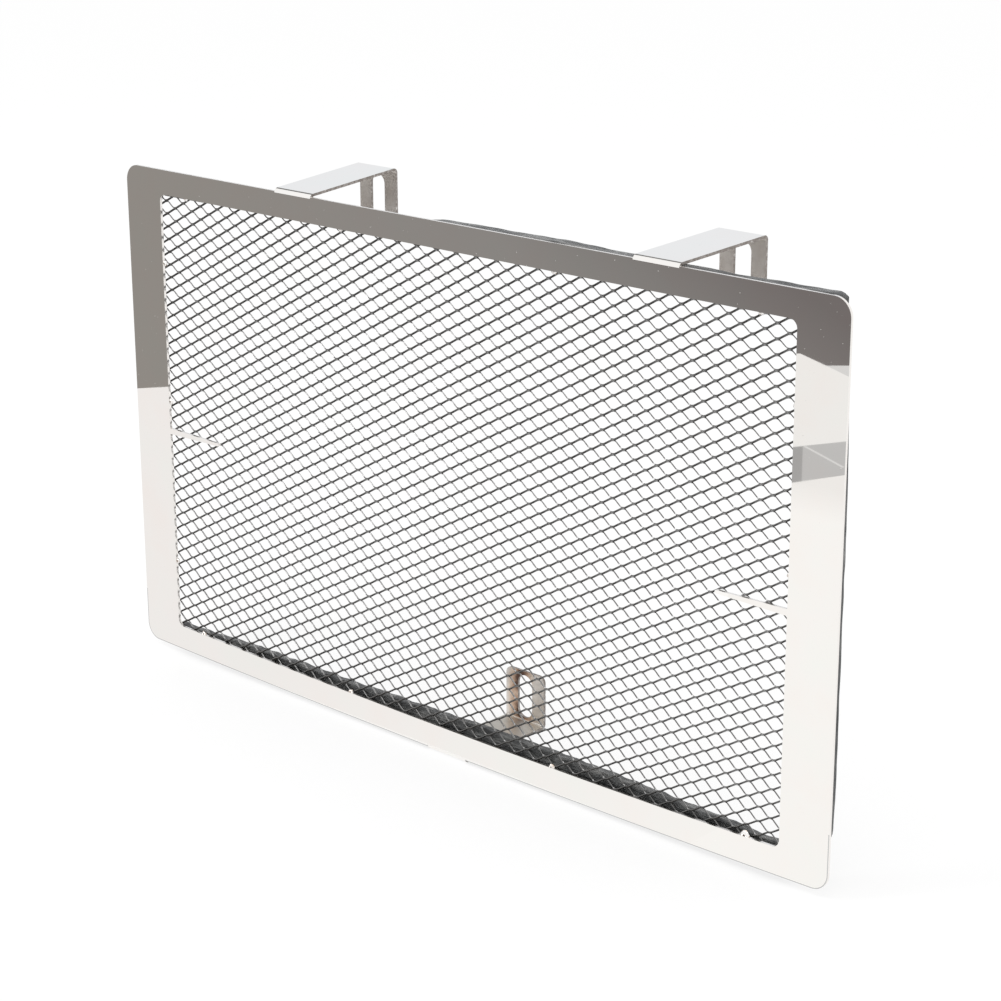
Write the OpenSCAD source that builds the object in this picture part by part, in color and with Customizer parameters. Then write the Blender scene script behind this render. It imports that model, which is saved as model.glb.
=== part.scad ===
// Motorcycle radiator guard: a folded, polished stainless frame with a black
// expanded-metal panel tacked behind its window and soft strips on its back.
// X runs across the guard, Y runs back towards the radiator, Z runs up.

/* [Frame] */
// Width of the frame sheet
frame_w = 400; // [340:5:460]
// Height of the frame sheet at its corners
frame_h = 229; // [190:1:260]
// Thickness of the stainless sheet
sheet_t = 1.2; // [0.8:0.1:2]
// Width of the left and right bars beside the window
side_bar_w = 23; // [14:0.5:32]
// Height of the top and bottom rails
rail_h = 11.2; // [8:0.2:16]
// Radius of the frame's outer corners
corner_r = 7.5; // [3:0.5:10]
// Radius of the window's corners
window_r = 3.5; // [1:0.5:6]
// How far the bottom rail bows down at its middle
bottom_bow = 2.2; // [0.5:0.1:4]

/* [Tongues] */
// Length of the two pointed tongues that reach into the window
tongue_len = 34; // [10:1:60]
// Height of a tongue where it leaves the side bar
tongue_root_h = 2.8; // [2:0.1:5]
// Height of a tongue at its tip
tongue_tip_h = 1.4; // [0.8:0.1:2]
// Height of the tongues above the frame's bottom corners
tongue_z = 107; // [80:1:140]

/* [Hooks] */
// Width of each hook and of the bottom tab
hook_w = 22.4; // [16:0.2:30]
// Distance between the two hooks
hook_pitch = 200; // [140:1:240]
// How far the pair of hooks sits to the right of the middle
hook_shift = 11.5; // [0:0.5:20]
// Length of the left hook's plate between its two bends
hook_plate_len = 47.4; // [30:0.2:60]
// How much longer the right hook's plate is
right_plate_extra = 2; // [0:0.2:6]
// How far the left hook's plate rises towards the back
left_rise = 4.4; // [0:0.2:8]
// How far the right hook's plate rises towards the back
right_rise = 2.4; // [0:0.2:8]
// Length of a hook's leg from the outside of its plate to its end
leg_len = 25.5; // [24.5:0.5:36]
// Inside radius of every fold
fold_r = 1; // [0.5:0.1:2]
// How far a folded plate stands outside the frame's edge
plate_lift = 1.4; // [0.5:0.1:2]
// Radius of the corners at a leg's end
leg_corner_r = 3; // [1:0.5:6]

/* [Bottom tab] */
// Length of the tab's flat plate between its two bends
tab_plate_len = 46.8; // [30:0.2:60]
// Length of the tab's leg from the outside of its plate to its end
tab_leg_len = 24.5; // [24.5:0.5:36]

/* [Bolt slots] */
// Width of the slot in each leg
slot_w = 8.5; // [6:0.5:12]
// Length of the slot in each leg, end to end
slot_len = 20; // [12:0.5:20]
// Metal left between a slot and the end of its leg
slot_end_wall = 1.9; // [1.2:0.1:2.2]

/* [Mesh panel] */
// Overall thickness of the expanded-metal panel
mesh_t = 1.4; // [1:0.1:2]
// Thickness of the web between the raised strands
web_t = 0.8; // [0.4:0.1:1]
// How far the panel reaches behind the frame, all round the window
mesh_lap = 5; // [3:0.5:7]
// Width of the flat selvedge that shows inside the window
selvedge_w = 1.5; // [1:0.1:3]
// Number of diamonds across the window
cells_across = 8; // [6:1:8]
// Number of diamonds up the window
cells_up = 7; // [5:1:7]
// Width of the web between two diamonds
web_w = 3.6; // [2:0.2:5]
// Width of the raised strand on each web
strand_w = 1.6; // [1:0.2:1.8]

/* [Tack welds] */
// Radius of each bead of weld at the window's edge
weld_r = 2.5; // [1.5:0.1:4]
// Thickness of each bead in front of the mesh
weld_t = 0.9; // [0.5:0.1:1]
// Distance from a corner of the window to the nearest bead on a rail
weld_rail_end = 17; // [10:1:40]
// Distance of the inner beads on a rail from the middle of the guard
weld_mid = 60; // [30:1:100]
// Distance from a corner of the window to the nearest bead on a side bar
weld_side_end = 32; // [12:1:45]
// Distance from a tongue up to the middle bead on a side bar
weld_over_tongue = 14; // [8:1:30]

/* [Foam strips] */
// Width of the soft strips on the side bars
foam_side_w = 12; // [6:0.5:14]
// Width of the soft strip behind the top rail
foam_top_w = 10; // [6:0.5:12]
// Width of the soft strip behind the bottom rail
foam_bottom_w = 13; // [6:0.5:14]
// Thickness of the soft strips
foam_t = 6; // [4:0.5:10]
// Free space between the top strip and the folds of the hooks
foam_hook_gap = 0.3; // [0.1:0.1:2]
// Distance of the side strips from the frame's side edges
foam_side_inset = 3.5; // [1:0.5:6]
// Distance of the bottom strip from the frame's bottom corners
foam_bottom_inset = 0.5; // [0:0.1:3]
// Distance of the top strip's ends from the frame's side edges
foam_end_inset = 3; // [1:0.5:8]
// Height of the side strips' lower ends above the frame's bottom corners
foam_foot_z = 20; // [16:0.5:40]
// Free space between the bottom strip's ends and the side strips
foam_corner_gap = 6; // [1:0.5:12]

/* [Hidden] */
$fn = 64;

// Free space left where the soft strips are cut round the mesh and each other
fit_gap = 0.3;
// Extra length of every cut beyond the material
over = 1;
// Facets of the very large circles that give the bowed edges
bow_fn = 3600;

steel = [0.84, 0.83, 0.81];
black_paint = [0.10, 0.10, 0.10];
weld_steel = [0.72, 0.66, 0.58];
black_foam = [0.06, 0.06, 0.07];

// The window
window_w = frame_w - 2 * side_bar_w;
window_bottom = rail_h;
window_top = frame_h - rail_h;
window_h = window_top - window_bottom;

// The folded straps
fold_out = fold_r + sheet_t;
hook_left_x = hook_shift - hook_pitch / 2;
hook_right_x = hook_shift + hook_pitch / 2;
right_plate_len = hook_plate_len + right_plate_extra;
top_plate_z = frame_h + plate_lift;
tab_plate_z = -bottom_bow - plate_lift;

// The mesh
mesh_front = sheet_t;
mesh_back = sheet_t + mesh_t;
ridge_h = (mesh_t - web_t) / 2;
lattice_w = window_w - 2 * selvedge_w;
lattice_h = window_h - 2 * selvedge_w;
cell_w = lattice_w / cells_across;
cell_h = lattice_h / cells_up;
strand_angle = atan(cell_h / cell_w);
gap_half_w = cell_w / 2 - web_w / 2 / sin(strand_angle);
gap_half_h = cell_h / 2 - web_w / 2 / cos(strand_angle);
strand_len = norm([lattice_w, lattice_h]) * 2;

// The beads of weld: the same four places on both rails, three on each bar
weld_xs = [-window_w / 2 + weld_rail_end, -weld_mid, weld_mid, window_w / 2 - weld_rail_end];
weld_zs = [window_bottom + weld_side_end, tongue_z + weld_over_tongue, window_top - weld_side_end];

// The soft strips
foam_top_z = top_plate_z - fold_out - foam_hook_gap;
side_strip_top = foam_top_z - foam_top_w - fit_gap;
side_strip_x = frame_w / 2 - foam_side_inset - foam_side_w / 2;
bottom_strip_len = 2 * (side_strip_x - foam_side_w / 2 - foam_corner_gap);

// The whole guard stands with its lowest face at zero, centred in X and Y
depth = max(right_plate_len, tab_plate_len) + 2 * fold_out;

module place() {
    translate([0, -depth / 2, -tab_plate_z]) children();
}

// Stands a shape drawn in X and Z upright, with its front at y and thickness t
module upright(y, t) {
    translate([0, y + t, 0]) rotate([90, 0, 0]) linear_extrude(t) children();
}

module rounded_plate(w, h, r) {
    translate([-w / 2, r]) square([w, h - 2 * r]);
    translate([-w / 2 + r, 0]) square([w - 2 * r, h]);
    for (x = [-w / 2 + r, w / 2 - r], z = [r, h - r]) translate([x, z]) circle(r);
}

// The sliver between a straight edge of length w and an arc that dips below it
module bow(w, dip) {
    arc_r = (pow(w / 2, 2) + pow(dip, 2)) / (2 * dip);
    intersection() {
        translate([0, arc_r - dip]) circle(arc_r, $fn = bow_fn);
        translate([-w / 2, -dip]) square([w, dip + over / 2]);
    }
}

module window() {
    translate([0, window_bottom]) {
        rounded_plate(window_w, window_h, window_r);
        bow(window_w - 2 * window_r, bottom_bow);
    }
}

// A tongue drawn from the left side bar towards the middle
module tongue() {
    tip_r = tongue_tip_h / 2;
    translate([-window_w / 2, tongue_z]) {
        polygon([[-over, -tongue_root_h / 2], [tongue_len - tip_r, -tip_r],
                 [tongue_len - tip_r, tip_r], [-over, tongue_root_h / 2]]);
        translate([tongue_len - tip_r, 0]) circle(tip_r);
    }
}

// The sheet's edge ends where the fold of a strap begins
module fold_cut(x, z) {
    translate([x - hook_w / 2, z]) square([hook_w, rail_h]);
}

module frame_face() {
    difference() {
        union() {
            rounded_plate(frame_w, frame_h, corner_r);
            bow(frame_w - 2 * corner_r, bottom_bow);
        }
        window();
        for (x = [hook_left_x, hook_right_x]) fold_cut(x, top_plate_z - fold_out);
        fold_cut(0, tab_plate_z + fold_out - rail_h);
    }
    tongue();
    mirror([1, 0]) tongue();
}

// A quarter fold, from the plate's side round to the front
module fold() {
    difference() {
        circle(fold_out);
        circle(fold_r);
        translate([0, -fold_out - over]) square(2 * (fold_out + over));
        translate([-fold_out - over, -fold_out - over]) square([fold_out + 2 * over, fold_out + over]);
    }
}

// A leg in its own plane, hanging from its fold, with its slot
module leg_face(leg) {
    flat = leg - fold_out;
    slot_bottom = -flat + slot_end_wall;
    difference() {
        union() {
            translate([-hook_w / 2, -flat + leg_corner_r]) square([hook_w, flat - leg_corner_r]);
            translate([-hook_w / 2 + leg_corner_r, -flat])
                square([hook_w - 2 * leg_corner_r, leg_corner_r + over]);
            for (x = [-1, 1])
                translate([x * (hook_w / 2 - leg_corner_r), -flat + leg_corner_r])
                    circle(leg_corner_r);
        }
        translate([-slot_w / 2, slot_bottom + slot_w / 2]) square([slot_w, slot_len - slot_w]);
        for (z = [slot_w / 2, slot_len - slot_w / 2])
            translate([0, slot_bottom + z]) circle(slot_w / 2);
    }
}

// One strap folded back over the frame's edge and then down: the plate's top
// starts at z = 0 and rises to the back, and the frame's front face is at y = 0
module strap(plate_len, rise, leg) {
    translate([0, fold_out, -fold_out]) {
        rotate([90, 0, 90]) linear_extrude(hook_w, center = true) {
            fold();
            polygon([[0, fold_r], [plate_len, fold_r + rise],
                     [plate_len, fold_out + rise], [0, fold_out]]);
            translate([plate_len, rise]) mirror([1, 0]) fold();
        }
        translate([0, plate_len, rise]) upright(fold_r, sheet_t) leg_face(leg);
    }
}

// The short neck that joins a strap's fold to the frame's edge
module neck(z_edge, z_fold) {
    low = min(z_edge, z_fold);
    translate([-hook_w / 2, low]) square([hook_w, abs(z_edge - z_fold)]);
}

module frame_sheet() color(steel) {
    upright(0, sheet_t) frame_face();
    for (hook = [[hook_left_x, hook_plate_len, left_rise], [hook_right_x, right_plate_len, right_rise]])
        translate([hook[0], 0, 0]) {
            upright(0, sheet_t) neck(frame_h - rail_h / 2, top_plate_z - fold_out);
            translate([0, 0, top_plate_z]) strap(hook[1], hook[2], leg_len);
        }
    upright(0, sheet_t) neck(rail_h / 2, tab_plate_z + fold_out);
    translate([0, 0, tab_plate_z]) mirror([0, 0, 1]) strap(tab_plate_len, 0, tab_leg_len);
}

// Diamonds of the open lattice: full ones, and halves along the edges
module diamond() {
    polygon([[-gap_half_w, 0], [0, -gap_half_h], [gap_half_w, 0], [0, gap_half_h]]);
}

module lattice_gaps() {
    intersection() {
        square([lattice_w, lattice_h], center = true);
        translate([-lattice_w / 2, -lattice_h / 2]) {
            for (i = [0 : cells_across - 1], j = [0 : cells_up - 1])
                translate([(i + 0.5) * cell_w, (j + 0.5) * cell_h]) diamond();
            for (i = [1 : cells_across - 1], j = [1 : cells_up - 1])
                translate([i * cell_w, j * cell_h]) diamond();
            for (i = [0, cells_across], j = [1 : cells_up - 1])
                translate([i * cell_w, j * cell_h]) diamond();
            for (i = [2 : cells_across - 2], j = [0, cells_up])
                translate([i * cell_w, j * cell_h]) diamond();
        }
    }
}

// Raised strands that all rise in one direction across the lattice
module raised_strands() {
    intersection() {
        square([lattice_w, lattice_h], center = true);
        translate([-lattice_w / 2, -lattice_h / 2])
            for (k = [-cells_up : cells_across - 1])
                translate([(k + 0.5) * cell_w, 0]) rotate(strand_angle)
                    square([strand_len, strand_w], center = true);
    }
}

module mesh_panel() color(black_paint) {
    mid_z = (window_bottom + window_top) / 2;
    panel_w = window_w + 2 * mesh_lap;
    panel_h = window_h + 2 * mesh_lap;
    translate([0, 0, mid_z]) {
        upright(mesh_front, mesh_t) difference() {
            square([panel_w, panel_h], center = true);
            square([lattice_w, lattice_h], center = true);
        }
        upright(mesh_front + ridge_h, web_t) difference() {
            square([panel_w, panel_h], center = true);
            lattice_gaps();
        }
        upright(mesh_front, ridge_h + web_t / 2) raised_strands();
        upright(mesh_back - ridge_h - web_t / 2, ridge_h + web_t / 2)
            mirror([1, 0]) raised_strands();
    }
}

// How far the window's lower edge has dipped at a distance x from the middle
function bow_dip(x) = bottom_bow * (1 - pow(x / (window_w / 2 - window_r), 2));

// Half a bead of weld against an edge of the window, standing away from it
module bead(x, z, angle) {
    translate([x, z]) rotate(angle) intersection() {
        circle(weld_r);
        translate([-weld_r - over, 0]) square([2 * (weld_r + over), weld_r + over]);
    }
}

module tack_welds() color(weld_steel) upright(mesh_front - weld_t, weld_t) {
    for (x = weld_xs) {
        bead(x, window_bottom - bow_dip(x), 0);
        bead(x, window_top, 180);
    }
    for (z = weld_zs) {
        bead(-window_w / 2, z, -90);
        bead(window_w / 2, z, 90);
    }
}

// A soft strip, stuck to the back of the sheet and cut round the mesh
module foam_strip(w, h) {
    difference() {
        translate([-w / 2, sheet_t, -h / 2]) cube([w, foam_t, h]);
        children();
    }
}

// The space that the mesh takes behind the sheet, with a little room round it
module mesh_room() {
    lap = mesh_lap + fit_gap;
    translate([-window_w / 2 - lap, 0, window_bottom - lap])
        cube([window_w + 2 * lap, mesh_back, window_h + 2 * lap]);
}

module foam_strip_top() color(black_foam) {
    z = foam_top_z - foam_top_w / 2;
    translate([0, 0, z])
        foam_strip(frame_w - 2 * foam_end_inset, foam_top_w) translate([0, 0, -z]) mesh_room();
}

module foam_strip_bottom() color(black_foam) {
    z = foam_bottom_inset + foam_bottom_w / 2;
    translate([0, 0, z])
        foam_strip(bottom_strip_len, foam_bottom_w) translate([0, 0, -z]) mesh_room();
}

module foam_strip_side(side) {
    h = side_strip_top - foam_foot_z;
    x = side * side_strip_x;
    z = foam_foot_z + h / 2;
    translate([x, 0, z]) foam_strip(foam_side_w, h) translate([-x, 0, -z]) mesh_room();
}

module foam_strip_left() color(black_foam) foam_strip_side(-1);
module foam_strip_right() color(black_foam) foam_strip_side(1);

place() frame_sheet();
place() mesh_panel();
place() tack_welds();
place() foam_strip_top();
place() foam_strip_bottom();
place() foam_strip_left();
place() foam_strip_right();
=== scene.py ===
import math
from functools import partial

import bmesh
import bpy
import numpy as np
from mathutils import Matrix, Vector, noise


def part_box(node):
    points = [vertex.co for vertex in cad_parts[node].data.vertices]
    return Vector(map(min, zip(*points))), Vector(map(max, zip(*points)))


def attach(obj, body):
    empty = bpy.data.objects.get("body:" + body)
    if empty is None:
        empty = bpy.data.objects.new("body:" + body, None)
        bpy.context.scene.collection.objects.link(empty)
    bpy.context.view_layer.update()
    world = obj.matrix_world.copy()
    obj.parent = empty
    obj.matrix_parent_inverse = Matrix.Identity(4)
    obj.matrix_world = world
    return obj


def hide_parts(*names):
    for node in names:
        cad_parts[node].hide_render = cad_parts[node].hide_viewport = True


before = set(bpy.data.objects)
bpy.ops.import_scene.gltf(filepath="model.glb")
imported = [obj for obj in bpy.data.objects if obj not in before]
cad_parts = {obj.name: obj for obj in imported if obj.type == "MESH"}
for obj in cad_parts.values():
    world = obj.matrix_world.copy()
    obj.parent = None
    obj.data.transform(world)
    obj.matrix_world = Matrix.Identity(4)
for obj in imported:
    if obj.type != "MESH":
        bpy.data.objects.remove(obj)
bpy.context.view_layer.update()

MM = 0.001
ROOT = "root"


# Places of the frame that everything else is set against

SHEET_LOW, SHEET_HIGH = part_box("frame_sheet")
MESH_LOW, MESH_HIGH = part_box("mesh_panel")
TOP_LOW, TOP_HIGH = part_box("foam_strip_top")
BOTTOM_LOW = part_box("foam_strip_bottom")[0]
FRONT_Y = SHEET_LOW.y
SHEET_T = 1.2 * MM
BACK_Y = FRONT_Y + SHEET_T
FRAME_W = SHEET_HIGH.x - SHEET_LOW.x
FOAM_BACK_Y = TOP_HIGH.y
MESH_LAP = 5 * MM
WINDOW_LEFT = MESH_LOW.x + MESH_LAP
WINDOW_RIGHT = MESH_HIGH.x - MESH_LAP
WINDOW_BOTTOM = MESH_LOW.z + MESH_LAP
WINDOW_TOP = MESH_HIGH.z - MESH_LAP
WINDOW_R = 3.5 * MM
RAIL_H = 11.2 * MM
FRAME_TOP = WINDOW_TOP + RAIL_H
FRAME_BOTTOM = WINDOW_BOTTOM - RAIL_H
BOTTOM_BOW = 2.2 * MM

# What tells the sheet's faces apart: how far they lie from MID_Z, or how far back, and which way they look
MID_Z = 118 * MM
LEG_SPAN_Z = 115.5 * MM
FRAME_SPAN_Z = 117.2 * MM
STRAP_FROM_Z = 114.75 * MM
LEG_NEAR_Y = 20 * MM
SIDEWAYS = 0.6
EDGE_ON = 0.3
UPWARD = 0.7
FACE_TOL = 0.02 * MM

# The thin painted dark reflection along the front's lower edge, and the round corners that it follows
CORNER_R = 7.5 * MM
EDGE_LINE = 0.4 * MM
EDGE_LINE_TOP = 28 * MM

# The tab's slot and the heat tint round it
TAB_SLOT_Z = 12.6 * MM
TAB_SLOT_REACH = 5.75 * MM
TAB_TOP = 2 * TAB_SLOT_Z + 2 * MM
SLOT_HALF_W = 4.25 * MM
HEAT_REACH = 6.5 * MM
HEAT_SPAN = 5 * MM
HEAT_LEFT = 0.5
HEAT_ENDS = 0.35
HEAT_BASE = 0.05
HEAT_UNEVEN = 2.0


# Camera, solved from the sheet's edges in the photograph, which is square and shows the guard from the right

LENS_MM = 88.007
SENSOR_MM = 36
CAMERA_AT = Vector((0.67882, -0.71637, 0.42611))
CAMERA_RIGHT = Vector((0.72996, 0.68349, -0.00222))
CAMERA_UP = Vector((-0.20750, 0.22469, 0.95208))


def add_camera():
    data = bpy.data.cameras.new("camera")
    data.lens = LENS_MM
    data.sensor_width = SENSOR_MM
    data.clip_start = 0.01
    camera = bpy.data.objects.new("camera", data)
    bpy.context.scene.collection.objects.link(camera)
    right = CAMERA_RIGHT.normalized()
    back = right.cross(CAMERA_UP).normalized()
    up = back.cross(right)
    turn = Matrix((right, up, back)).transposed()
    camera.matrix_world = Matrix.Translation(CAMERA_AT) @ turn.to_4x4()
    bpy.context.scene.camera = camera


# Small helpers for meshes

def new_object(name, verts, faces, smooth=False):
    mesh = bpy.data.meshes.new(name)
    mesh.from_pydata([tuple(v) for v in verts], [], [tuple(f) for f in faces])
    mesh.validate()
    mesh.update()
    mesh.shade_smooth() if smooth else mesh.shade_flat()
    piece = bpy.data.objects.new(name, mesh)
    bpy.context.scene.collection.objects.link(piece)
    return piece


def set_material(piece, material):
    piece.data.materials.clear()
    piece.data.materials.append(material)


def dress(piece, material, slot, *nodes):
    """Gives a new piece its material and its body, and hides the nodes that it stands for; the slot argument
    is not used.
    """
    set_material(piece, material)
    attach(piece, ROOT)
    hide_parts(*nodes)


# Small helpers for materials

def new_material(name):
    """A new material, its nodes, its links and its shader."""
    material = bpy.data.materials.new(name)
    material.use_nodes = True
    nodes = material.node_tree.nodes
    return material, nodes, material.node_tree.links, nodes["Principled BSDF"]


def add_noise(nodes, links, scale, detail=3.0, rough=0.5):
    """Noise fixed to the object; scale is in waves per metre."""
    coords = nodes.new("ShaderNodeTexCoord")
    tex = nodes.new("ShaderNodeTexNoise")
    tex.inputs["Scale"].default_value = scale
    tex.inputs["Detail"].default_value = detail
    tex.inputs["Roughness"].default_value = rough
    links.new(coords.outputs["Object"], tex.inputs["Vector"])
    return tex


def add_place(nodes, links):
    """Where a point is, in three outputs, X, Y and Z."""
    coords = nodes.new("ShaderNodeTexCoord")
    place = nodes.new("ShaderNodeSeparateXYZ")
    links.new(coords.outputs["Object"], place.inputs["Vector"])
    return place


def add_ramp(nodes, links, source, stops):
    """Colours along a socket from 0 to 1; stops are places with colours."""
    ramp = nodes.new("ShaderNodeValToRGB")
    elements = ramp.color_ramp.elements
    while len(elements) < len(stops):
        elements.new(0.5)
    for element, (place, color) in zip(elements, stops):
        element.position = place
        element.color = (*color, 1)
    links.new(source, ramp.inputs["Fac"])
    return ramp


def add_bump(nodes, links, height, strength, distance, normal=None):
    bump = nodes.new("ShaderNodeBump")
    bump.inputs["Strength"].default_value = strength
    bump.inputs["Distance"].default_value = distance
    links.new(height, bump.inputs["Height"])
    if normal is not None:
        links.new(normal, bump.inputs["Normal"])
    return bump


def add_math(nodes, links, operation, first, second=None, clamp=False):
    """A Math node on sockets or plain numbers; returns its output."""
    node = nodes.new("ShaderNodeMath")
    node.operation = operation
    node.use_clamp = clamp
    for socket, value in zip(node.inputs, (first, second)):
        if isinstance(value, (int, float)):
            socket.default_value = value
        elif value is not None:
            links.new(value, socket)
    return node.outputs["Value"]


def add_mix(nodes, links, amount, first, second):
    """Blends two colours, each a socket or a triple, by a socket from 0 to 1."""
    node = nodes.new("ShaderNodeMixRGB")
    links.new(amount, node.inputs["Fac"])
    for socket, value in zip((node.inputs["Color1"], node.inputs["Color2"]), (first, second)):
        if isinstance(value, tuple):
            socket.default_value = (*value, 1)
        else:
            links.new(value, socket)
    return node.outputs["Color"]


def grey(value):
    return (value, value, value)


# Materials

def sheet_zones(nodes, links):
    """Masks for cut edges, those of the straps, the inner side and the tab's shelf, and a point's place."""
    math_ = partial(add_math, nodes, links)
    place = add_place(nodes, links)
    shape = nodes.new("ShaderNodeNewGeometry")
    facing = nodes.new("ShaderNodeSeparateXYZ")
    links.new(shape.outputs["True Normal"], facing.inputs["Vector"])
    height = math_("SUBTRACT", place.outputs["Z"], MID_Z)
    side_face = math_("GREATER_THAN", math_("ABSOLUTE", facing.outputs["X"]), SIDEWAYS)
    thin_face = math_("LESS_THAN", math_("ABSOLUTE", facing.outputs["Y"]), EDGE_ON)
    in_sheet = math_("LESS_THAN", place.outputs["Y"], BACK_Y + FACE_TOL)
    in_frame = math_("MULTIPLY", in_sheet, math_("LESS_THAN", math_("ABSOLUTE", height), FRAME_SPAN_Z))
    in_leg = math_("MULTIPLY", math_("GREATER_THAN", place.outputs["Y"], LEG_NEAR_Y),
                   math_("LESS_THAN", math_("ABSOLUTE", height), LEG_SPAN_Z))
    edge = math_("MAXIMUM", side_face, math_("MULTIPLY", thin_face, math_("MAXIMUM", in_frame, in_leg)))
    off_strap = math_("MULTIPLY", in_sheet, math_("LESS_THAN", math_("ABSOLUTE", height), STRAP_FROM_Z))
    strap_edge = math_("MULTIPLY", edge, math_("SUBTRACT", 1.0, off_strap))
    outward = math_("ADD", math_("MULTIPLY", facing.outputs["Y"], place.outputs["Y"]),
                    math_("MULTIPLY", facing.outputs["Z"], height))
    inner = math_("MULTIPLY", math_("SUBTRACT", 1.0, edge), math_("LESS_THAN", outward, 0.0))
    shelf = math_("MULTIPLY", math_("MULTIPLY", inner, math_("GREATER_THAN", facing.outputs["Z"], UPWARD)),
                  math_("LESS_THAN", place.outputs["Z"], TAB_SLOT_Z / 2))
    return edge, strap_edge, inner, shelf, place


def painted_edge_reflection(nodes, links, place):
    """1 on a thin line along the front face's lower edge, where a painted dark reflection stands for what the
    shear-rounded edge mirrors.
    """
    math_ = partial(add_math, nodes, links)
    half = FRAME_W / 2 - CORNER_R
    from_mid = math_("ABSOLUTE", place.outputs["X"])
    along = math_("DIVIDE", from_mid, half)
    dip = math_("MULTIPLY", math_("SUBTRACT", 1.0, math_("MULTIPLY", along, along), True), BOTTOM_BOW)
    centre_z = math_("SUBTRACT", FRAME_BOTTOM + CORNER_R, dip)
    down = math_("MAXIMUM", math_("SUBTRACT", centre_z, place.outputs["Z"]), 0.0)
    side = math_("MAXIMUM", math_("SUBTRACT", from_mid, half), 0.0)
    reach = math_("SQRT", math_("ADD", math_("MULTIPLY", down, down), math_("MULTIPLY", side, side)))
    line = math_("MULTIPLY", math_("GREATER_THAN", reach, CORNER_R - EDGE_LINE),
                 math_("LESS_THAN", reach, CORNER_R + FACE_TOL))
    low = math_("MULTIPLY", math_("LESS_THAN", place.outputs["Z"], EDGE_LINE_TOP),
                math_("LESS_THAN", place.outputs["Y"], FRONT_Y + FACE_TOL))
    return math_("MULTIPLY", line, low)


def tab_heat(nodes, links, place):
    """How strongly the tab is heat-tinted: round its slot, and most at the left and at the slot's ends."""
    math_ = partial(add_math, nodes, links)
    rise = math_("SUBTRACT", place.outputs["Z"], TAB_SLOT_Z)
    past_end = math_("MAXIMUM", math_("SUBTRACT", math_("ABSOLUTE", rise), TAB_SLOT_REACH), 0.0)
    from_axis = math_("SQRT", math_("ADD", math_("MULTIPLY", place.outputs["X"], place.outputs["X"]),
                                    math_("MULTIPLY", past_end, past_end)))
    past_slot = math_("DIVIDE", math_("SUBTRACT", from_axis, SLOT_HALF_W), HEAT_REACH)
    near_slot = math_("SUBTRACT", 1.0, past_slot, True)
    left = math_("MULTIPLY", place.outputs["X"], -HEAT_LEFT / HEAT_SPAN)
    ends = math_("MULTIPLY", math_("ABSOLUTE", rise), HEAT_ENDS / HEAT_SPAN)
    side = math_("ADD", math_("ADD", left, ends), HEAT_BASE, True)
    patches = add_noise(nodes, links, 180, 4, 0.6)
    uneven = math_("MULTIPLY", patches.outputs["Fac"], HEAT_UNEVEN)
    on_tab = math_("MULTIPLY", math_("LESS_THAN", place.outputs["Z"], TAB_TOP),
                   math_("GREATER_THAN", place.outputs["Y"], LEG_NEAR_Y))
    heat = math_("MULTIPLY", math_("MULTIPLY", near_slot, side), uneven)
    return math_("MULTIPLY", heat, on_tab, True)


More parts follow.
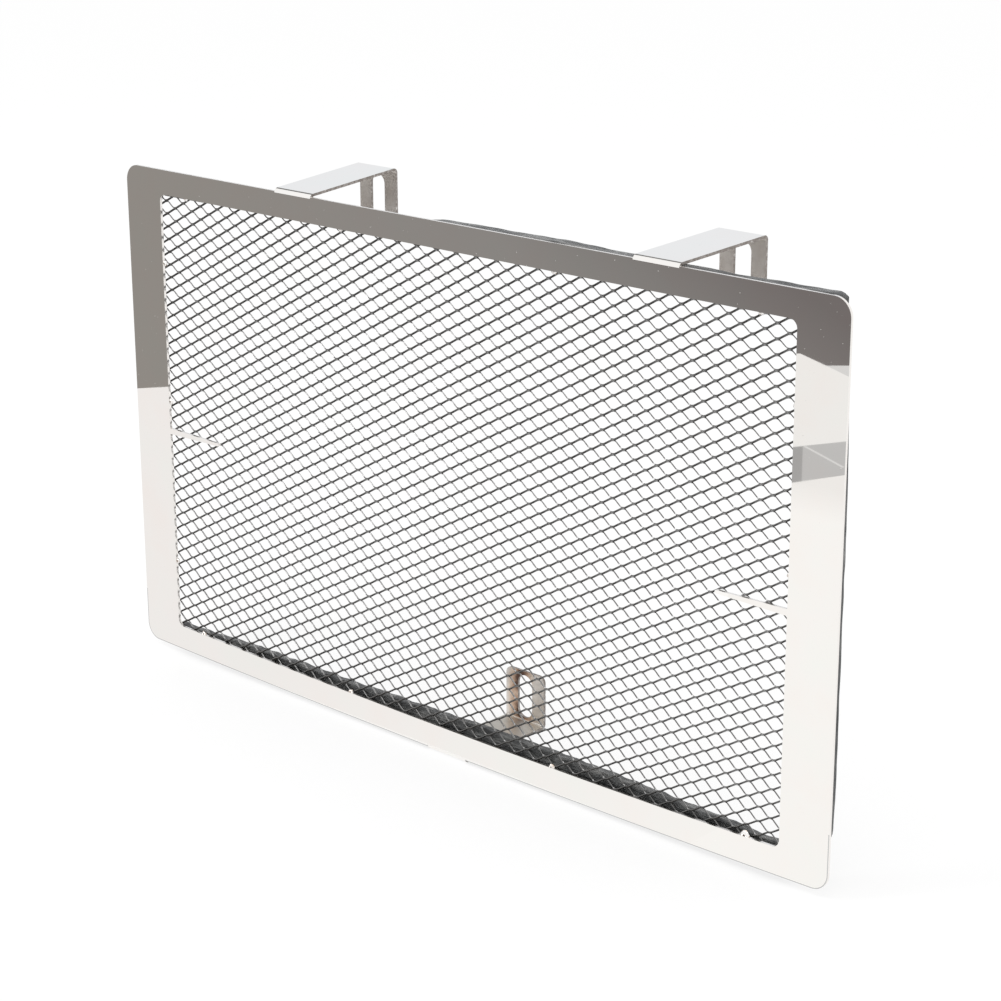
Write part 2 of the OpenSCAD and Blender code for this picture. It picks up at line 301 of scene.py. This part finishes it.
def polished_steel():
    """Mirror finish outside, dull brown-grey inside the folds, pale cut edges, browner ones on the straps."""
    material, nodes, links, shader = new_material("polished_steel")
    shader.inputs["Metallic"].default_value = 1.0
    edge, strap_edge, inner, shelf, place = sheet_zones(nodes, links)
    tint = add_noise(nodes, links, 35, 5, 0.6)
    mirror = add_ramp(nodes, links, tint.outputs["Fac"],
                      [(0.30, (0.935, 0.895, 0.865)), (0.50, (0.930, 0.910, 0.885)),
                       (0.70, (0.915, 0.915, 0.885))])
    specks = add_noise(nodes, links, 900, 1)
    dust = add_ramp(nodes, links, specks.outputs["Fac"], [(0.78, grey(0.0)), (0.80, grey(0.6))])
    color = add_mix(nodes, links, dust.outputs["Color"], mirror.outputs["Color"], (0.95, 0.94, 0.92))
    stain = add_noise(nodes, links, 85, 5, 0.65)
    dull = add_ramp(nodes, links, stain.outputs["Fac"],
                    [(0.30, (0.68, 0.62, 0.57)), (0.52, (0.82, 0.77, 0.72)), (0.75, (0.88, 0.84, 0.80))])
    scorch = add_ramp(nodes, links, tab_heat(nodes, links, place),
                      [(0.0, (1.0, 1.0, 1.0)), (0.25, (0.93, 0.83, 0.74)), (0.55, (0.66, 0.48, 0.37)),
                       (0.85, (0.16, 0.10, 0.08))])
    tinted = nodes.new("ShaderNodeMixRGB")
    tinted.blend_type = "MULTIPLY"
    tinted.inputs["Fac"].default_value = 1.0
    links.new(dull.outputs["Color"], tinted.inputs["Color1"])
    links.new(scorch.outputs["Color"], tinted.inputs["Color2"])
    color = add_mix(nodes, links, inner, color, tinted.outputs["Color"])
    color = add_mix(nodes, links, shelf, color, (0.56, 0.53, 0.48))
    color = add_mix(nodes, links, edge, color, (0.90, 0.87, 0.84))
    burrs = add_noise(nodes, links, 700, 3, 0.6)
    sheared = add_ramp(nodes, links, burrs.outputs["Fac"],
                       [(0.45, (0.27, 0.24, 0.22)), (0.62, (0.42, 0.39, 0.37)), (0.74, (0.78, 0.76, 0.74))])
    color = add_mix(nodes, links, strap_edge, color, sheared.outputs["Color"])
    # Painted reflection: a thin grey line along the lower edge, for the dark that the rounded edge mirrors
    color = add_mix(nodes, links, painted_edge_reflection(nodes, links, place), color, grey(0.55))
    links.new(color, shader.inputs["Base Color"])
    haze = add_noise(nodes, links, 60, 5, 0.6)
    gloss = add_ramp(nodes, links, haze.outputs["Fac"], [(0.35, grey(0.006)), (0.75, grey(0.02))])
    rough = add_mix(nodes, links, dust.outputs["Color"], gloss.outputs["Color"], grey(0.6))
    rough = add_mix(nodes, links, inner, rough, grey(0.45))
    rough = add_mix(nodes, links, edge, rough, grey(0.30))
    rough = add_mix(nodes, links, strap_edge, rough, grey(0.55))
    links.new(rough, shader.inputs["Roughness"])
    waves = add_noise(nodes, links, 9, 1)
    soft = add_bump(nodes, links, waves.outputs["Fac"], 0.05, 0.0006)
    grain = add_noise(nodes, links, 1600, 2)
    depth = add_math(nodes, links, "MULTIPLY", grain.outputs["Fac"],
                     add_math(nodes, links, "MAXIMUM", inner, edge))
    bump = add_bump(nodes, links, depth, 0.15, 0.0002, soft.outputs["Normal"])
    links.new(bump.outputs["Normal"], shader.inputs["Normal"])
    return material


def black_paint():
    """Semi-gloss black with a slightly uneven skin."""
    material, nodes, links, shader = new_material("black_paint")
    tone = add_noise(nodes, links, 90, 4)
    color = add_ramp(nodes, links, tone.outputs["Fac"],
                     [(0.30, (0.024, 0.022, 0.020)), (0.72, (0.060, 0.056, 0.052))])
    links.new(color.outputs["Color"], shader.inputs["Base Color"])
    skin = add_noise(nodes, links, 700, 3)
    gloss = add_ramp(nodes, links, skin.outputs["Fac"], [(0.3, grey(0.16)), (0.7, grey(0.30))])
    links.new(gloss.outputs["Color"], shader.inputs["Roughness"])
    bump = add_bump(nodes, links, skin.outputs["Fac"], 0.2, 0.0002)
    links.new(bump.outputs["Normal"], shader.inputs["Normal"])
    shader.inputs["Specular IOR Level"].default_value = 1.0
    return material


def weld_metal():
    """Bright bare metal with a few brown spots."""
    material, nodes, links, shader = new_material("weld_metal")
    shader.inputs["Metallic"].default_value = 1.0
    heat = add_noise(nodes, links, 420, 3)
    color = add_ramp(nodes, links, heat.outputs["Fac"],
                     [(0.32, (0.14, 0.09, 0.06)), (0.38, (0.66, 0.56, 0.48)), (0.44, (0.95, 0.93, 0.91))])
    links.new(color.outputs["Color"], shader.inputs["Base Color"])
    shader.inputs["Roughness"].default_value = 0.28
    grain = add_noise(nodes, links, 1500, 3)
    bump = add_bump(nodes, links, grain.outputs["Fac"], 0.35, 0.0003)
    links.new(bump.outputs["Normal"], shader.inputs["Normal"])
    return material


def weld_scale():
    """Dark brown oxide in the pits of the welds."""
    material, nodes, links, shader = new_material("weld_scale")
    scale = add_noise(nodes, links, 900, 3)
    color = add_ramp(nodes, links, scale.outputs["Fac"],
                     [(0.35, (0.05, 0.03, 0.02)), (0.7, (0.22, 0.13, 0.08))])
    links.new(color.outputs["Color"], shader.inputs["Base Color"])
    shader.inputs["Roughness"].default_value = 0.5
    return material


def foam_skin(name, squeeze):
    """Black closed-cell foam with a shiny, creased skin; squeeze draws the creases out along the strip."""
    material, nodes, links, shader = new_material(name)

    def drawn_noise(scale, detail, rough):
        tex = add_noise(nodes, links, scale, detail, rough)
        coords = nodes.new("ShaderNodeTexCoord")
        scaling = nodes.new("ShaderNodeMapping")
        scaling.inputs["Scale"].default_value = squeeze
        links.new(coords.outputs["Object"], scaling.inputs["Vector"])
        links.new(scaling.outputs["Vector"], tex.inputs["Vector"])
        return tex

    # Painted sheen: the lighter blotches of this colour stand partly for the skin's shine and partly for its
    # own uneven tone
    tone = drawn_noise(260, 5, 0.6)
    color = add_ramp(nodes, links, tone.outputs["Fac"],
                     [(0.32, (0.022, 0.023, 0.024)), (0.52, (0.082, 0.084, 0.084)),
                      (0.70, (0.240, 0.240, 0.234))])
    links.new(color.outputs["Color"], shader.inputs["Base Color"])
    patches = drawn_noise(420, 4, 0.6)
    gloss = add_ramp(nodes, links, patches.outputs["Fac"], [(0.38, grey(0.12)), (0.60, grey(0.50))])
    links.new(gloss.outputs["Color"], shader.inputs["Roughness"])
    creases = drawn_noise(620, 5, 0.65)
    bump = add_bump(nodes, links, creases.outputs["Fac"], 1.0, 0.0022)
    links.new(bump.outputs["Normal"], shader.inputs["Normal"])
    return material


# The expanded-metal panel: zigzag strands, turned out of the plane, that meet at bonds

PITCH_X = 10.996 * MM
PITCH_Z = 5.930 * MM
STRAND_WIDE = 0.92 * MM
STRAND_THICK = 0.46 * MM
STRAND_TURN = math.radians(51)
STRAND_STEPS = (0.08, 0.22, 0.78, 0.92)
BOND_SHARE = 0.15
MESH_SEAT = 0.05 * MM
MESH_MARGIN_X = 0.5 * MM
MESH_MARGIN_Z = 1 * MM
SPARE_CELLS = 3
WIDE_WAY = Vector((0, -math.sin(STRAND_TURN), math.cos(STRAND_TURN)))
THICK_WAY = Vector((0, math.cos(STRAND_TURN), math.sin(STRAND_TURN)))
STRAND_DEEP = STRAND_WIDE * math.sin(STRAND_TURN) + STRAND_THICK / 2 * math.cos(STRAND_TURN)
MESH_MID_Y = BACK_Y + MESH_SEAT + STRAND_DEEP
MESH_BACK_Y = MESH_MID_Y + STRAND_DEEP
PANEL_MID_Z = 115 * MM
PANEL_HALF_H = 100 * MM


def stretch(x, z):
    """How far the panel's uneven stretching, fitted to the photograph, moves a point; x, z from -1 to 1."""
    across = 9.6 + 0.9 * x + 2.3 * x ** 3 - 2.6 * x * x + x * z - 1.1 * z * z
    up = 0.5 + 1.1 * x - 0.8 * x * x + 0.4 * x * z - 0.8 * z * z
    return across * MM, up * MM


def panel_point(x, z):
    """Where a point of the even lattice lies on the real panel; x from its left edge, z from its top edge."""
    across, up = stretch((x - FRAME_W / 2) / (FRAME_W / 2), (z + PANEL_MID_Z) / PANEL_HALF_H)
    return x + across + SHEET_LOW.x, z + up + FRAME_TOP


def strand_path(row, first, last):
    """The middle line of a zigzag strand, as (x, z, lean): lean is 1 at a lower bond, -1 at an upper one."""
    half_x, half_z = PITCH_X / 2, PITCH_Z / 2
    for k in range(first, last):
        rising = (k + row) % 2 == 0
        for t in STRAND_STEPS:
            climb = min(max((t - BOND_SHARE) / (1 - 2 * BOND_SHARE), 0), 1)
            share = climb if rising else 1 - climb
            yield (k + t) * half_x, (row + share) * half_z, 1 - 2 * share


def build_mesh_panel():
    first_row = -math.ceil((FRAME_TOP - FRAME_BOTTOM) / (PITCH_Z / 2)) - SPARE_CELLS
    last_step = int(FRAME_W / (PITCH_X / 2)) + SPARE_CELLS
    wide = WIDE_WAY * STRAND_WIDE / 2
    thick = THICK_WAY * STRAND_THICK / 2
    low_x, high_x = MESH_LOW.x + MESH_MARGIN_X, MESH_HIGH.x - MESH_MARGIN_X
    low_z, high_z = MESH_LOW.z + MESH_MARGIN_Z, MESH_HIGH.z - MESH_MARGIN_Z
    verts, faces = [], []
    for row in range(first_row, SPARE_CELLS):
        last = None
        for along, height, lean in strand_path(row, -SPARE_CELLS, last_step):
            x, z = panel_point(along, height)
            if not (low_x < x < high_x and low_z < z < high_z):
                if last is not None:
                    faces.append((last, last + 1, last + 2, last + 3))
                last = None
                continue
            middle = Vector((x, MESH_MID_Y, z)) + wide * lean
            base = len(verts)
            verts.extend((middle - thick - wide, middle - thick + wide,
                          middle + thick + wide, middle + thick - wide))
            if last is None:
                faces.append((base + 3, base + 2, base + 1, base))
            else:
                for c in range(4):
                    d = (c + 1) % 4
                    faces.append((last + c, last + d, base + d, base + c))
            last = base
    return new_object("expanded_mesh", verts, faces)


# Tack welds: small uneven domes at the window's edge

WELD_R = 1.7 * MM
WELD_BIG = 1.2
WELD_SMALL = 0.8
WELD_TOP = 0.75
WELD_SPREAD = 0.25
WELD_RAGGED = 0.22
WELD_LUMPY = 0.25
WELD_DOME = 1.0 * MM
WELD_PIT = 0.45
WELD_PIT_STEEP = 2.6
WELD_RAIL_END = 17 * MM
WELD_MID = 60 * MM
WELD_SIDE_END = 32 * MM
WELD_RINGS = 8
WELD_SECTORS = 20
WELD_PIT_RINGS = 2
TONGUE_Z = FRAME_BOTTOM + 107 * MM
WELD_OVER_TONGUE = 14 * MM


def bow_dip(x):
    """How far the window's lower edge sags at x."""
    return BOTTOM_BOW * (1 - (x / (WINDOW_RIGHT - WINDOW_R)) ** 2)


def weld_places():
    """Each bead's place on the edge, the way it stands off the edge, and its share of the full size."""
    xs = (WINDOW_LEFT + WELD_RAIL_END, -WELD_MID, WELD_MID, WINDOW_RIGHT - WELD_RAIL_END)
    zs = (WINDOW_BOTTOM + WELD_SIDE_END, TONGUE_Z + WELD_OVER_TONGUE, WINDOW_TOP - WELD_SIDE_END)
    for x in xs:
        yield x, WINDOW_BOTTOM - bow_dip(x), math.pi / 2, WELD_BIG if x == xs[-1] else WELD_SMALL
        yield x, WINDOW_TOP, -math.pi / 2, WELD_TOP
    for z in zs:
        yield WINDOW_LEFT, z, 0, WELD_SMALL
        yield WINDOW_RIGHT, z, math.pi, WELD_SMALL


def build_welds():
    verts, faces = [], []
    for number, (x, z, toward, share) in enumerate(weld_places()):
        base = len(verts)
        size = WELD_R * share * (1 + WELD_SPREAD * noise.noise(Vector((number * 3.7, 0.4, 0.9))))
        for ring in range(WELD_RINGS + 1):
            out = ring / WELD_RINGS
            for sector in range(WELD_SECTORS + 1):
                turn = toward - math.pi / 2 + math.pi * sector / WELD_SECTORS
                seed = Vector((number * 7.3, math.cos(turn) * out * 1.7, math.sin(turn) * out * 1.7))
                lump = noise.noise(seed)
                reach = size * out * (1 + WELD_RAGGED * lump)
                pit = 1 - WELD_PIT * math.exp(-(out * WELD_PIT_STEEP) ** 2)
                rise = WELD_DOME * math.sqrt(max(0, 1 - out * out)) * pit * (1 + WELD_LUMPY * lump)
                verts.append(Vector((x + reach * math.cos(turn), BACK_Y - rise, z + reach * math.sin(turn))))
        width = WELD_SECTORS + 1
        for ring in range(WELD_RINGS):
            for sector in range(WELD_SECTORS):
                a = base + ring * width + sector
                faces.append((a, a + 1, a + 1 + width, a + width))
    welds = new_object("weld_beads", verts, faces, smooth=True)
    dress(welds, weld_metal(), "weld_metal", "tack_welds")
    welds.data.materials.append(weld_scale())
    for face in welds.data.polygons:
        ring = face.index // WELD_SECTORS % WELD_RINGS
        if ring < WELD_PIT_RINGS:
            face.material_index = 1


# Foam strips: soft bars stuck to the sheet and over the mesh's border, with uneven edges

FOAM_STEP = 1.5 * MM
FOAM_ROUND = 0.7 * MM
FOAM_ARC = 4
FOAM_SHELF_POINTS = 5
FOAM_BACK_POINTS = 6
FOAM_LUMP = 0.35 * MM
FOAM_LUMPS_ALONG = 110
FOAM_LUMPS_ACROSS = 330
FOAM_END = 3 * MM
FOAM_PINCH = 0.10
FOAM_CLEAR = 0.1 * MM
MESH_CLEAR = 0.3 * MM
SIDE_INNER = 15.3 * MM
# Against their CAD bars, the top strip is shorter at the right, and the bottom one longer at each end
TOP_SHORT = 3.2 * MM
BOTTOM_LONGER = 3 * MM

# Profiles of the strips' edges, in millimetres: points picked along edges measured in the photograph

# Heights of the top strip's upper edge from the sheet's edge, along X
TOP_UPPER = ((-200, -1.9), (-14, -1.8), (-4.5, -0.55), (4, -0.25), (20, 0.0), (45, 0.2), (53, 0.25),
             (60, 0.45), (68, 0.3), (76, 0.25), (83, -0.2), (98.5, 0.0), (108, -0.1), (131, -0.2),
             (140, -0.4), (152, -0.45), (164, -0.1), (172, -0.2), (177, -0.05), (185, 0.2),
             (190, 0.4), (191.5, 0.3), (193.8, -0.6))
# Heights of the top strip's lower edge from the window's upper edge, where it hangs into the window
TOP_LOWER = ((-200, -1.5), (-175, -1.4), (-150, -1.1), (-128, -0.9), (-118, 0.0), (-100, 3.0))
# Heights of the bottom strip's upper edge above the window's lower edge, along X
BOTTOM_UPPER = ((-200, -1.0), (-168, -0.6), (-158, -0.1), (-150, 0.5), (-126, 1.7), (-110, 1.95), (-86, 2.2),
                (-62, 2.75), (-38, 3.4), (-18, 4.0), (-6, 3.9), (10, 4.55), (34, 5.1), (50, 5.0), (74, 4.5),
                (90, 4.3), (106, 3.7), (122, 2.85), (146, 1.85), (160, 0.95), (172, 0.3), (200, -0.3))
# How far the side strips' outer edges lie inside the sheet's side edge, along Z
SIDE_OUTER = ((0, 3.5), (25, 3.0), (39, 2.4), (60, 2.55), (82, 2.65), (110, 2.8), (139, 2.65), (153, 2.9),
              (168, 3.1), (182, 3.5), (196, 4.0), (240, 4.4))


def follow(profile, place):
    """The height of a profile, given in millimetres, at a place in metres."""
    return float(np.interp(place / MM, [p[0] for p in profile], [p[1] for p in profile])) * MM


def wave(place, seed, length, height):
    """A smooth random rise or dip, with waves of about this length."""
    return height * noise.noise(Vector((place / length, seed, 0.3)))


def strip_section(inner, outer, step_at):
    """Points round a strip, as (across, y): flat on the sheet, stepped back over the mesh's border."""
    way = 1 if inner > outer else -1
    shelf = MESH_BACK_Y + FOAM_CLEAR
    radius = min(FOAM_ROUND, abs(inner - outer) / 5)
    step = outer + way * min(max(way * (step_at - outer), 2 * radius), abs(inner - outer) - 2 * radius)
    points = []

    def corner(across, y, start, bend):
        for k in range(FOAM_ARC):
            angle = math.radians(start + bend * 90 * k / (FOAM_ARC - 1))
            points.append((across + way * radius * math.cos(angle), y + radius * math.sin(angle)))

    corner(outer + way * radius, BACK_Y + radius, 180, 1)
    points.append((step, BACK_Y))
    points.append((step, shelf))
    for k in range(1, FOAM_SHELF_POINTS):
        points.append((step + (inner - way * radius - step) * k / FOAM_SHELF_POINTS, shelf))
    corner(inner - way * radius, shelf + radius, 270, 1)
    corner(inner - way * radius, FOAM_BACK_Y - radius, 0, 1)
    for k in range(1, FOAM_BACK_POINTS):
        points.append((inner + (outer - inner) * k / FOAM_BACK_POINTS, FOAM_BACK_Y))
    corner(outer + way * radius, FOAM_BACK_Y - radius, 90, 1)
    return points


def lumpy(place, across, y, seed):
    """Moves a point of a strip a little, and never towards the sheet or the mesh."""
    spot = Vector((place * FOAM_LUMPS_ALONG + seed, across * FOAM_LUMPS_ACROSS, y * FOAM_LUMPS_ACROSS))
    if y <= BACK_Y + FOAM_ROUND:
        return across, y
    if y < FOAM_BACK_Y - 2 * FOAM_ROUND:
        return across, y + FOAM_LUMP * abs(noise.noise(spot))
    return across + FOAM_LUMP * 0.7 * noise.noise(spot), y - FOAM_LUMP * (0.5 + 0.5 * noise.noise(spot * 0.7))


def build_strip(name, low, high, edges, step_at, along_x, seed):
    """A foam bar between two corners. edges(t) gives its inner and outer edge at a distance t along it."""
    start, end = (low.x, high.x) if along_x else (low.z, high.z)
    steps = int((end - start) / FOAM_STEP)
    verts, faces = [], []
    count = 0
    for step in range(steps + 1):
        place = start + (end - start) * step / steps
        near_end = min(place - start, end - place)
        taper = 1 - FOAM_PINCH * (1 - min(1.0, near_end / FOAM_END)) ** 2
        inner, outer = edges(place)
        centre = (inner + outer) / 2
        inner, outer = centre + (inner - centre) * taper, centre + (outer - centre) * taper
        section = strip_section(inner, outer, step_at)
        count = len(section)
        for across, y in section:
            across, y = lumpy(place, across, y, seed)
            verts.append((place, y, across) if along_x else (across, y, place))
    for step in range(steps):
        for k in range(count):
            a = step * count + k
            b = step * count + (k + 1) % count
            faces.append((a, b, b + count, a + count))
    faces.append(tuple(range(count)))
    faces.append(tuple(steps * count + k for k in range(count)))
    strip = new_object(name, verts, faces, smooth=True)
    bm = bmesh.new()
    bm.from_mesh(strip.data)
    bmesh.ops.recalc_face_normals(bm, faces=bm.faces)
    for face in bm.faces:
        face.smooth = len(face.verts) == 4
    bm.to_mesh(strip.data)
    bm.free()
    return strip


def top_edges(x):
    """The top strip's lower and upper edge at x."""
    upper = FRAME_TOP + follow(TOP_UPPER, x) + wave(x, 5.7, 0.009, 0.12 * MM)
    lower = TOP_LOW.z + abs(wave(x, 2.1, 0.02, 0.5 * MM))
    return min(lower, WINDOW_TOP + follow(TOP_LOWER, x) + wave(x, 7.7, 0.02, 0.15 * MM)), upper


def bottom_edges(x):
    """The bottom strip's upper and lower edge at x."""
    upper = WINDOW_BOTTOM - bow_dip(x) + follow(BOTTOM_UPPER, x)
    ragged = wave(x, 8.2, 0.008, 0.55 * MM) + wave(x, 3.3, 0.0035, 0.45 * MM)
    return upper + ragged, BOTTOM_LOW.z + 0.3 * MM + abs(wave(x, 4.4, 0.02, 0.5 * MM))


def side_edges(way, seed):
    """Gives the function for a side strip's inner and outer edge; way is -1 on the left, 1 on the right."""
    def edges(z):
        inner = way * (FRAME_W / 2 - SIDE_INNER) + wave(z, seed + 3, 0.02, 0.5 * MM)
        outer = way * (FRAME_W / 2 - follow(SIDE_OUTER, z)) + wave(z, seed, 0.015, 0.15 * MM)
        return inner, outer

    return edges


def build_foam():
    along_x = foam_skin("foam_skin_rails", (0.22, 1, 1))
    along_z = foam_skin("foam_skin_bars", (1, 1, 0.22))
    strips = (("top", top_edges, MESH_HIGH.z + MESH_CLEAR, True, along_x, 1.0),
              ("bottom", bottom_edges, MESH_LOW.z - MESH_CLEAR, True, along_x, 2.0),
              ("left", side_edges(-1, 11.0), MESH_LOW.x - MESH_CLEAR, False, along_z, 11.0),
              ("right", side_edges(1, 23.0), MESH_HIGH.x + MESH_CLEAR, False, along_z, 23.0))
    for side, edges, step_at, is_rail, material, seed in strips:
        node = "foam_strip_" + side
        low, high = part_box(node)
        if side == "top":
            high.x -= TOP_SHORT
        if side == "bottom":
            low.x -= BOTTOM_LONGER
            high.x += BOTTOM_LONGER
        strip = build_strip("foam_" + side, low, high, edges, step_at, is_rail, seed)
        dress(strip, material, "black_foam", node)


# Floor, cards that only the polished metal mirrors, and light

FLOOR_SIZE = 12
FLOOR_WHITE = 0.76
CARD_LIFT = 0.15 * MM
# Corners of cards on the floor, in metres, worked out from where their mirror images lie in the photograph:
# the dark card's near edge, from what the left bar mirrors to what the right bar mirrors, its far side, which
# way it grows lighter, the pale wedge, and the patch in three tones
DARK_EDGE = ((-2.05, 1.70), (-0.572, -0.319), (-0.304, -0.692), (-0.271, -0.677), (-0.259, -0.688),
             (1.50, -2.30))
DARK_FAR = ((1.50, -4.0), (-4.0, -4.0), (-4.0, 1.70))
DARK_ALONG = (-0.59, 0.807)
WEDGE = ((-0.271, -0.677), (-0.150, -0.619), (-0.130, -0.806))
PATCH = ((-0.174, -0.496), (-0.148, -0.544), (-0.109, -0.486), (-0.130, -0.437))
PATCH_SHADE = ((-0.174, -0.496), (-0.166, -0.508), (-0.124, -0.450), (-0.130, -0.437))
PATCH_LINE = ((-0.1650, -0.5100), (-0.1220, -0.4900), (-0.1226, -0.4882), (-0.1656, -0.5082))
# What the left bar and the bottom rail mirror, and what the right bar mirrors
PALE_LEFT = ((-0.572, -0.319), (-0.439, -0.507), (-0.10, -0.060), (0.13, -0.050), (0.13, -0.031),
             (-0.23, -0.031), (-0.75, -0.2))
PALE_RIGHT = ((-0.33, -0.656), (-0.304, -0.692), (-0.271, -0.677), (-0.259, -0.688), (0.10, -1.0),
              (0.45, -0.3), (0.30, -0.031), (0.13, -0.031), (0.13, -0.050))
SKY_CARD_AT = Vector((-2.4, 2.6, 1.9))
SKY_CARD_SIZE = 3.2
# Dark band overhead, which the start of each upper fold mirrors
BAND_LOW = Vector((-1.96, 1.52, 1.68))
BAND_HIGH = Vector((-1.96, 0.24, 2.26))
BAND_SIDE = Vector((-0.60, -0.21, -0.48))
# What the lamps and the sky card face
LIT_AT = Vector((0, 0, 0.1))


def seen_directly(nodes, links):
    """1 for rays from the camera, from mirrors and through glass, otherwise 0."""
    rays = nodes.new("ShaderNodeLightPath")
    either = add_math(nodes, links, "MAXIMUM", rays.outputs["Is Camera Ray"], rays.outputs["Is Glossy Ray"])
    return add_math(nodes, links, "MAXIMUM", either, rays.outputs["Is Transmission Ray"])


def white_stage():
    """A floor that shows as white and still takes a faint shadow."""
    material, nodes, links, shader = new_material("white_stage")
    shader.inputs["Base Color"].default_value = (0.95, 0.95, 0.95, 1)
    shader.inputs["Roughness"].default_value = 1.0
    shader.inputs["Specular IOR Level"].default_value = 0.0
    glow = nodes.new("ShaderNodeEmission")
    blend = nodes.new("ShaderNodeMixShader")
    white = add_math(nodes, links, "MULTIPLY", seen_directly(nodes, links), FLOOR_WHITE)
    links.new(white, blend.inputs["Fac"])
    links.new(shader.outputs["BSDF"], blend.inputs[1])
    links.new(glow.outputs["Emission"], blend.inputs[2])
    links.new(blend.outputs["Shader"], nodes["Material Output"].inputs["Surface"])
    return material


def glow_material(name, color):
    """A material of one plain light of its own, and what is needed to change it."""
    material, nodes, links, shader = new_material(name)
    glow = nodes.new("ShaderNodeEmission")
    glow.inputs["Color"].default_value = (*color, 1)
    links.new(glow.outputs["Emission"], nodes["Material Output"].inputs["Surface"])
    return material, nodes, links, glow


def dark_card_material():
    """Dark grey that grows lighter along the card, towards the left bar's mirror image."""
    material, nodes, links, glow = glow_material("dark_card", grey(0.2))
    place = add_place(nodes, links)
    along = add_math(nodes, links, "ADD",
                     add_math(nodes, links, "MULTIPLY", place.outputs["X"], DARK_ALONG[0]),
                     add_math(nodes, links, "MULTIPLY", place.outputs["Y"], DARK_ALONG[1]))
    share = add_math(nodes, links, "ADD", along, 0.5)
    shade = add_ramp(nodes, links, share,
                     [(0.06, (0.180, 0.162, 0.160)), (0.17, (0.232, 0.222, 0.216)),
                      (0.26, (0.268, 0.256, 0.248)), (0.58, (0.298, 0.280, 0.262))])
    links.new(shade.outputs["Color"], glow.inputs["Color"])
    return material


def pale_card_material(name, axis, stops):
    """White that is toned down along one axis; stops are places in metres from -0.5 to 0.5, with colours."""
    material, nodes, links, glow = glow_material(name, grey(0.95))
    place = add_place(nodes, links)
    share = add_math(nodes, links, "ADD", place.outputs[axis], 0.5)
    shade = add_ramp(nodes, links, share, [(at + 0.5, color) for at, color in stops])
    links.new(shade.outputs["Color"], glow.inputs["Color"])
    return material


def add_card(name, corners, material):
    """A card that shows in mirrors alone."""
    card = new_object(name, corners, [tuple(range(len(corners)))])
    set_material(card, material)
    card.visible_camera = False
    card.visible_diffuse = False
    card.visible_shadow = False


def add_stage():
    half = FLOOR_SIZE / 2
    floor = new_object("floor", [(-half, -half, 0), (half, -half, 0), (half, half, 0), (-half, half, 0)],
                       [(0, 1, 2, 3)])
    set_material(floor, white_stage())
    add_card("dark_card", [(x, y, CARD_LIFT) for x, y in DARK_EDGE + DARK_FAR], dark_card_material())
    add_card("grey_wedge", [(x, y, CARD_LIFT) for x, y in WEDGE], glow_material("grey_wedge", grey(0.72))[0])
    for name, corners, axis, stops in (
            ("pale_left", PALE_LEFT, "X", ((-0.14, (0.92, 0.905, 0.90)), (0.13, (0.985, 0.98, 0.97)))),
            ("pale_right", PALE_RIGHT, "Y", ((-0.45, (0.91, 0.905, 0.895)), (-0.40, (1.0, 0.995, 0.985))))):
        add_card(name, [(x, y, CARD_LIFT * 0.5) for x, y in corners], pale_card_material(name, axis, stops))
    for number, (name, corners, color) in enumerate(
            (("grey_patch", PATCH, grey(0.55)), ("patch_shade", PATCH_SHADE, grey(0.40)),
             ("patch_line", PATCH_LINE, grey(0.74)))):
        add_card(name, [(x, y, CARD_LIFT * (1.3 + 0.3 * number)) for x, y in corners],
                 glow_material(name, color)[0])
    band = (BAND_LOW - BAND_SIDE, BAND_LOW + BAND_SIDE, BAND_HIGH + BAND_SIDE, BAND_HIGH - BAND_SIDE)
    add_card("dark_band", band, glow_material("dark_band", grey(0.22))[0])
    toward = LIT_AT - SKY_CARD_AT
    side = toward.cross(Vector((0, 0, 1))).normalized() * SKY_CARD_SIZE / 2
    up = side.cross(toward).normalized() * SKY_CARD_SIZE / 2
    sky = [SKY_CARD_AT + side * a + up * b for a, b in ((-1, -1), (1, -1), (1, 1), (-1, 1))]
    add_card("sky_card", sky, glow_material("sky_card", (0.86, 0.88, 0.91))[0])


def add_area(name, place, size, watts):
    data = bpy.data.lights.new(name, "AREA")
    data.shape = "DISK"
    data.size = size
    data.energy = watts
    lamp = bpy.data.objects.new(name, data)
    bpy.context.scene.collection.objects.link(lamp)
    lamp.location = place
    lamp.rotation_euler = (LIT_AT - Vector(place)).to_track_quat("-Z", "Y").to_euler()


def add_lights():
    world = bpy.data.worlds.new("world")
    bpy.context.scene.world = world
    world.use_nodes = True
    sky = world.node_tree.nodes["Background"]
    sky.inputs["Color"].default_value = (1, 1, 1, 1)
    sky.inputs["Strength"].default_value = 1.0
    add_area("key", (0.5, -0.9, 1.8), size=1.2, watts=5)
    add_area("glint", (-0.75, -1.3, 1.7), size=0.5, watts=8)


# Put it together

add_camera()
add_stage()
add_lights()

set_material(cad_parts["frame_sheet"], polished_steel())
dress(build_mesh_panel(), black_paint(), "black_mesh", "mesh_panel")
build_welds()
build_foam()

bpy.context.scene.view_settings.view_transform = "Standard"
bpy.context.view_layer.update()
